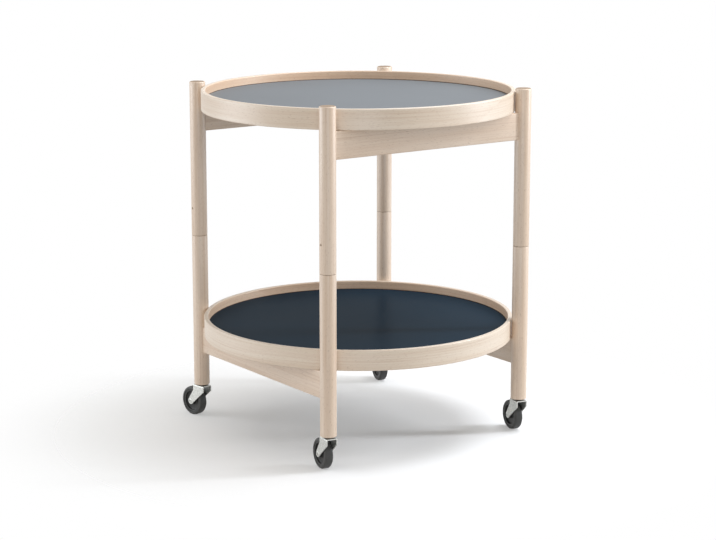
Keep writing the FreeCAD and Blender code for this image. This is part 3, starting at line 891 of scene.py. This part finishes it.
@dataclass
class Castor:
    """A swivel castor: bent sheet fork, hollow rivet, moulded wheel and tyre."""

    corner: str
    finishes: Finishes
    sheet: float = 0.0016
    arm_gap: float = 0.0150
    crown_length: float = 0.025
    skirt: float = 0.010
    bend: float = 0.0020
    tip: float = 0.0055
    edge: float = 0.0003
    edge_angle: float = math.radians(50)
    columns: int = 14
    tip_share: float = 0.9995
    tip_rows: int = 14
    arm_rows: int = 12
    bend_rows: int = 6
    rivet_radius: float = 0.0025
    rivet_head: float = 0.0036
    rivet_height: float = 0.0006
    rivet_hollow: float = 0.0018
    rivet_dome: tuple[Flat, ...] = ((1.0, 0.25), (0.86, 0.68), (0.62, 0.94))
    hollow_lip: Flat = (1.25, 0.2)
    hollow_margin: float = 1.01
    rivet_segments: int = 40
    tyre_width: float = 0.0140
    tyre_depth: float = 0.0050
    tyre_round: float = 0.0034
    tyre_edge: float = 0.0004
    tyre_steps: int = 8
    band_width: float = 0.0126
    band_depth: float = 0.0030
    band_edges: Flat = (0.0003, 0.0008)
    web: float = 0.0050
    web_edge: float = 0.0012
    hub_radius: float = 0.0065
    hub_width: float = 0.0146
    hub_edge: float = 0.0005
    bore_share: float = 1.02
    centre_steps: int = 4
    segments: int = 96
    place: Matrix = field(init=False)
    trail: float = field(init=False)
    axle: float = field(init=False)
    crown: float = field(init=False)

    def __post_init__(self) -> None:
        """Take the castor's place, turn and trail from its two joints."""
        swivel = Vector(joint_row(f"{self.corner}_swivel")["pos_m"])
        spin = Vector(joint_row(f"{self.corner}_wheel_spin")["pos_m"])
        reach = spin - swivel
        self.trail = math.hypot(reach.x, reach.y)
        self.axle = spin.z
        self.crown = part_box(f"{self.corner}_castor_fork")[1].z
        turn = Matrix.Rotation(math.atan2(reach.y, reach.x), 4, "Z")
        self.place = Matrix.Translation((swivel.x, swivel.y, 0)) @ turn

    def build(self) -> None:
        """Build and dress the fork, the rivet, the wheel and the tyre."""
        self.build_fork()
        self.build_rivet()
        self.build_wheel()

    def tangent(self, corner: Flat, side: int) -> float:
        """Find the angle at which a line from a corner of the skirt touches the round tip.

        Args:
            corner: The corner.
            side: 1 for the rear edge of the arm, -1 for the front one.

        Returns:
            The angle on the tip's circle.
        """
        across, up = corner[0] - self.trail, corner[1] - self.axle
        return math.atan2(up, across) + side * math.acos(self.tip / math.hypot(across, up))

    def arm_edge(self, height: float, side: int) -> float:
        """Find how far the arm reaches at a height.

        Args:
            height: The height above the floor.
            side: 1 for the rear edge of the arm, -1 for the front one.

        Returns:
            The edge's place along the trail.
        """
        corner = (-side * self.crown_length / 2, self.crown - self.skirt)
        if height >= corner[1]:
            return corner[0]
        angle = self.tangent(corner, side)
        touch = (self.trail + self.tip * math.cos(angle), self.axle + self.tip * math.sin(angle))
        if height >= touch[1]:
            share = (height - touch[1]) / (corner[1] - touch[1])
            return touch[0] + share * (corner[0] - touch[0])
        drop = self.axle - height
        return self.trail - side * math.sqrt(max(self.tip ** 2 - drop ** 2, 0.0))

    def arm_path(self) -> list[Flat]:
        """Lay out the fork's bent section at mid sheet.

        Returns:
            Points from one tip over the crown to the other tip.
        """
        middle = (self.arm_gap + self.sheet) / 2
        top = self.crown - self.sheet / 2
        radius = self.bend - self.sheet / 2
        foot = self.axle - self.tip * self.tip_share
        heights = [foot + (self.tip * 2) * (1 - math.cos(step * math.pi / (2 * self.tip_rows)))
                   for step in range(self.tip_rows)]
        last = heights[-1]
        rise = top - radius - last
        heights += [last + rise * step / self.arm_rows for step in range(1, self.arm_rows + 1)]
        arc = [(middle - radius + radius * math.cos(a), top - radius + radius * math.sin(a))
               for a in (math.pi / 2 * step / self.bend_rows for step in range(1, self.bend_rows + 1))]
        half = [(middle, height) for height in heights] + arc
        return half + [(-across, up) for across, up in reversed(half)]

    def build_fork(self) -> None:
        """Build the fork as a bent sheet with thickness and softened edges."""
        name = f"{self.corner}_castor_fork_sheet"
        form = bmesh.new()
        rows = []
        for across, up in self.arm_path():
            rear, front = self.arm_edge(up, 1), self.arm_edge(up, -1)
            steps = (step / self.columns for step in range(self.columns + 1))
            rows.append([form.verts.new((rear + (front - rear) * share, across, up)) for share in steps])
        for low, high in zip(rows, rows[1:]):
            for step in range(self.columns):
                form.faces.new((low[step], low[step + 1], high[step + 1], high[step]))
        mesh = to_mesh(form, name)
        thing = new_piece(name, mesh, [self.finishes.by_slot["zinc_steel"]], f"{self.corner}_castor",
                          [f"{self.corner}_castor_fork"], self.place)
        wall = thing.modifiers.new("sheet", "SOLIDIFY")
        wall.thickness = self.sheet
        wall.offset = 0.0
        soft = thing.modifiers.new("edges", "BEVEL")
        soft.width = self.edge
        soft.segments = 2
        soft.limit_method = "ANGLE"
        soft.angle_limit = self.edge_angle

    def upright(self) -> Matrix:
        """Find the place of something turned about the axle.

        Returns:
            The place, with the axle as Z.
        """
        return self.place @ Matrix.Translation((self.trail, 0, self.axle)) @ Matrix.Rotation(math.pi / 2, 4, "X")

    def build_rivet(self) -> None:
        """Build the axle, a rivet with domed heads and a hollow in either end."""
        seat = self.arm_gap / 2 + self.sheet
        crest = seat + self.rivet_height
        lip, lip_drop = self.hollow_lip
        dome = [(self.rivet_head * share, seat + rise * self.rivet_height) for share, rise in self.rivet_dome]
        half = [(self.rivet_radius, 0), (self.rivet_radius, seat), (self.rivet_head, seat), *dome,
                (self.rivet_hollow * lip, crest), (self.rivet_hollow, crest - lip_drop * self.rivet_height),
                (self.rivet_hollow, seat - self.rivet_hollow), (0, seat - self.rivet_hollow)]
        outline = [(r, -z) for r, z in reversed(half)] + half[1:]
        mesh = lathe(f"{self.corner}_castor_rivet", outline, self.rivet_segments, False)
        # The hollows in the rivet ends take the dark brown finish: painted shade inside the recess.
        for face in mesh.polygons:
            reach = max(mesh.vertices[spot].co.xy.length for spot in face.vertices)
            face.material_index = int(reach < self.rivet_hollow * self.hollow_margin)
        new_piece(f"{self.corner}_castor_rivet", mesh, [self.finishes.by_slot["zinc_steel"], self.finishes.seam],
                  f"{self.corner}_castor", [f"{self.corner}_castor_axle"], self.upright())

    def build_wheel(self) -> None:
        """Build the wheel centre and the tyre."""
        body = f"{self.corner}_castor_roller"
        outside = self.axle
        seat = outside - self.tyre_depth
        width = self.tyre_width / 2
        tread = rounded(((seat, -width, self.tyre_edge), (outside, -width, self.tyre_round),
                         (outside, width, self.tyre_round), (seat, width, self.tyre_edge)), self.tyre_steps)
        tyre = lathe(f"{self.corner}_castor_tyre_ring", tread, self.segments, True)
        new_piece(f"{self.corner}_castor_tyre_ring", tyre, [self.finishes.by_slot["tyre_rubber"]], body,
                  [f"{self.corner}_castor_tyre"], self.upright())
        bore = self.rivet_radius * self.bore_share
        inner = seat - self.band_depth
        seat_edge, inner_edge = self.band_edges
        half = [(seat, self.band_width / 2, seat_edge), (inner, self.band_width / 2, inner_edge),
                (inner, self.web / 2, self.web_edge), (self.hub_radius, self.web / 2, self.web_edge),
                (self.hub_radius, self.hub_width / 2, self.hub_edge), (bore, self.hub_width / 2, 0.0)]
        corners = [(r, -z, e) for r, z, e in reversed(half)] + half
        centre = lathe(f"{self.corner}_castor_wheel_centre", rounded(corners, self.centre_steps),
                       self.segments, True)
        new_piece(f"{self.corner}_castor_wheel_centre", centre, [self.finishes.by_slot["wheel_plastic"]], body,
                  [f"{self.corner}_castor_wheel"], self.upright())


@dataclass
class Lamp:
    """A soft lamp that faces the table, square or tall and narrow.

    Its place is given as seen by the camera: to the right, away and up from the middle of the floor.
    """

    name: str
    right: float
    away: float
    up: float
    size: float
    power: float
    narrow: float = 1.0
    tint: tuple[float, float, float] = (0.94, 0.985, 1.05)
    aim: Vector = field(default_factory=lambda: Vector((0, 0, 0.28)))

    def hang(self, right: Vector, away: Vector) -> None:
        """Put the lamp into the scene.

        Args:
            right: The camera's right on the floor.
            away: The way from the camera over the floor.
        """
        data = bpy.data.lights.new(self.name, "AREA")
        data.shape = "RECTANGLE"
        data.size = self.size * self.narrow
        data.size_y = self.size
        data.energy = self.power
        data.color = self.tint
        thing = bpy.data.objects.new(self.name, data)
        bpy.context.scene.collection.objects.link(thing)
        thing.location = right * self.right + away * self.away + Vector((0, 0, self.up))
        thing.rotation_euler = (self.aim - thing.location).to_track_quat("-Z", "Y").to_euler()


@dataclass
class Studio:
    """A white studio: floor, world, lamps and the camera at the photograph's place."""

    azimuth: float = -35.126
    distance: float = 3.2831
    height: float = 0.9584
    pitch: float = 12.036
    lens: float = 104.085
    sideways: float = -0.00026
    floor_reach: float = 4.0
    floor_white: Colour = (0.90, 0.90, 0.90, 1.0)
    floor_lift: float = 0.12
    fade_start: float = 0.16
    fade_end: float = 0.62
    sky: Colour = (0.468, 0.447, 0.412, 1.0)

    def right(self) -> Vector:
        """Find the camera's right-hand side.

        Returns:
            The direction on the floor.
        """
        turn = math.radians(self.azimuth)
        return Vector((math.cos(turn), math.sin(turn), 0))

    def away(self) -> Vector:
        """Find the way from the camera to the table.

        Returns:
            The direction on the floor.
        """
        turn = math.radians(self.azimuth)
        return Vector((-math.sin(turn), math.cos(turn), 0))

    def build(self) -> None:
        """Build the whole studio."""
        self.build_floor()
        self.build_world()
        for lamp in (Lamp("key_lamp", right=0.92, away=0.04, up=2.35, size=1.0, power=30.0),
                     Lamp("right_lamp", right=2.60, away=0.15, up=1.20, size=1.8, power=47.0, narrow=0.17),
                     Lamp("left_lamp", right=-2.50, away=0.10, up=0.75, size=1.6, power=25.0),
                     Lamp("front_lamp", right=0.20, away=-2.90, up=0.36, size=0.7, power=7.5)):
            lamp.hang(self.right(), self.away())
        self.build_camera()
        bpy.context.scene.view_settings.view_transform = "Standard"

    def build_floor(self) -> None:
        """Lay a white floor that keeps the table's shadow."""
        form = bmesh.new()
        bmesh.ops.create_grid(form, x_segments=1, y_segments=1, size=self.floor_reach)
        mesh = to_mesh(form, "studio_floor")
        graph = Graph("studio_white")
        path = graph.add("ShaderNodeLightPath")
        seen = graph.combine("MAXIMUM", path.outputs["Is Camera Ray"], path.outputs["Is Glossy Ray"])
        seen = graph.combine("MAXIMUM", seen, path.outputs["Is Transmission Ray"])
        lift = graph.combine("MULTIPLY", seen, self.floor_lift)
        graph.surface(Base_Color=self.floor_white, Roughness=1.0, Emission_Strength=lift,
                      Emission_Color=(1.0, 1.0, 1.0, 1.0), Specular_IOR_Level=0.0)
        reach = graph.add("ShaderNodeVectorMath", operation="LENGTH")
        graph.feed(reach.inputs[0], graph.place())
        mix = graph.add("ShaderNodeMixShader")
        graph.feed(mix.inputs["Fac"], graph.span(reach.outputs["Value"], self.fade_start, self.fade_end))
        graph.feed(mix.inputs[1], graph.shader.outputs["BSDF"])
        graph.feed(mix.inputs[2], graph.add("ShaderNodeBsdfTransparent").outputs["BSDF"])
        graph.feed(graph.tree.nodes["Material Output"].inputs["Surface"], mix.outputs["Shader"])
        mesh.materials.append(graph.material)
        floor = bpy.data.objects.new("studio_floor", mesh)
        bpy.context.scene.collection.objects.link(floor)

    def build_world(self) -> None:
        """Surround the table with white, at full strength only where it is seen."""
        world = bpy.data.worlds.new("studio_world")
        bpy.context.scene.world = world
        world.use_nodes = True
        tree = world.node_tree
        path = tree.nodes.new("ShaderNodeLightPath")
        level = tree.nodes.new("ShaderNodeMix")
        level.data_type = "RGBA"
        level.inputs[6].default_value = self.sky
        level.inputs[7].default_value = (1.0, 1.0, 1.0, 1.0)
        seen = path.outputs["Is Camera Ray"]
        for ray in ("Is Glossy Ray", "Is Transmission Ray"):
            either = tree.nodes.new("ShaderNodeMath")
            either.operation = "MAXIMUM"
            tree.links.new(seen, either.inputs[0])
            tree.links.new(path.outputs[ray], either.inputs[1])
            seen = either.outputs[0]
        tree.links.new(seen, level.inputs["Factor"])
        tree.links.new(level.outputs[2], tree.nodes["Background"].inputs["Color"])

    def build_camera(self) -> None:
        """Set up the camera."""
        data = bpy.data.cameras.new("photo_camera")
        data.lens = self.lens
        data.sensor_width = SENSOR_WIDTH
        data.clip_end = FAR_CLIP
        camera = bpy.data.objects.new("photo_camera", data)
        bpy.context.scene.collection.objects.link(camera)
        camera.location = self.away() * -self.distance + self.right() * self.sideways + Vector((0, 0, self.height))
        camera.rotation_euler = (math.pi / 2 - math.radians(self.pitch), 0, math.radians(self.azimuth))
        bpy.context.scene.camera = camera


def main() -> None:
    """Build the table's pieces in order, then the studio."""
    logging.basicConfig(level=logging.INFO, format="%(name)s: %(message)s")
    finishes = Finishes()
    finishes.dress_nodes()
    for number, tray in enumerate(("upper_tray", "lower_tray")):
        Tray(tray, seed_of(TRAY_SEEDS, number), finishes).build()
    rails = (("front_top_rail", "front_top_frame", GrainRun.ALONG_X),
             ("back_top_rail", "back_top_frame", GrainRun.ALONG_X),
             ("left_bottom_rail", "left_bottom_frame", GrainRun.ALONG_Y),
             ("right_bottom_rail", "right_bottom_frame", GrainRun.ALONG_Y))
    for number, (rail, body, run) in enumerate(rails):
        Rail(rail, body, run, seed_of(RAIL_SEEDS, number), finishes).build()
    for number, corner in enumerate(CORNERS):
        Leg(corner, seed_of(LEG_SEEDS, number), finishes).build()
        Castor(corner, finishes).build()
    Studio().build()


if __name__ == "__main__":
    main()
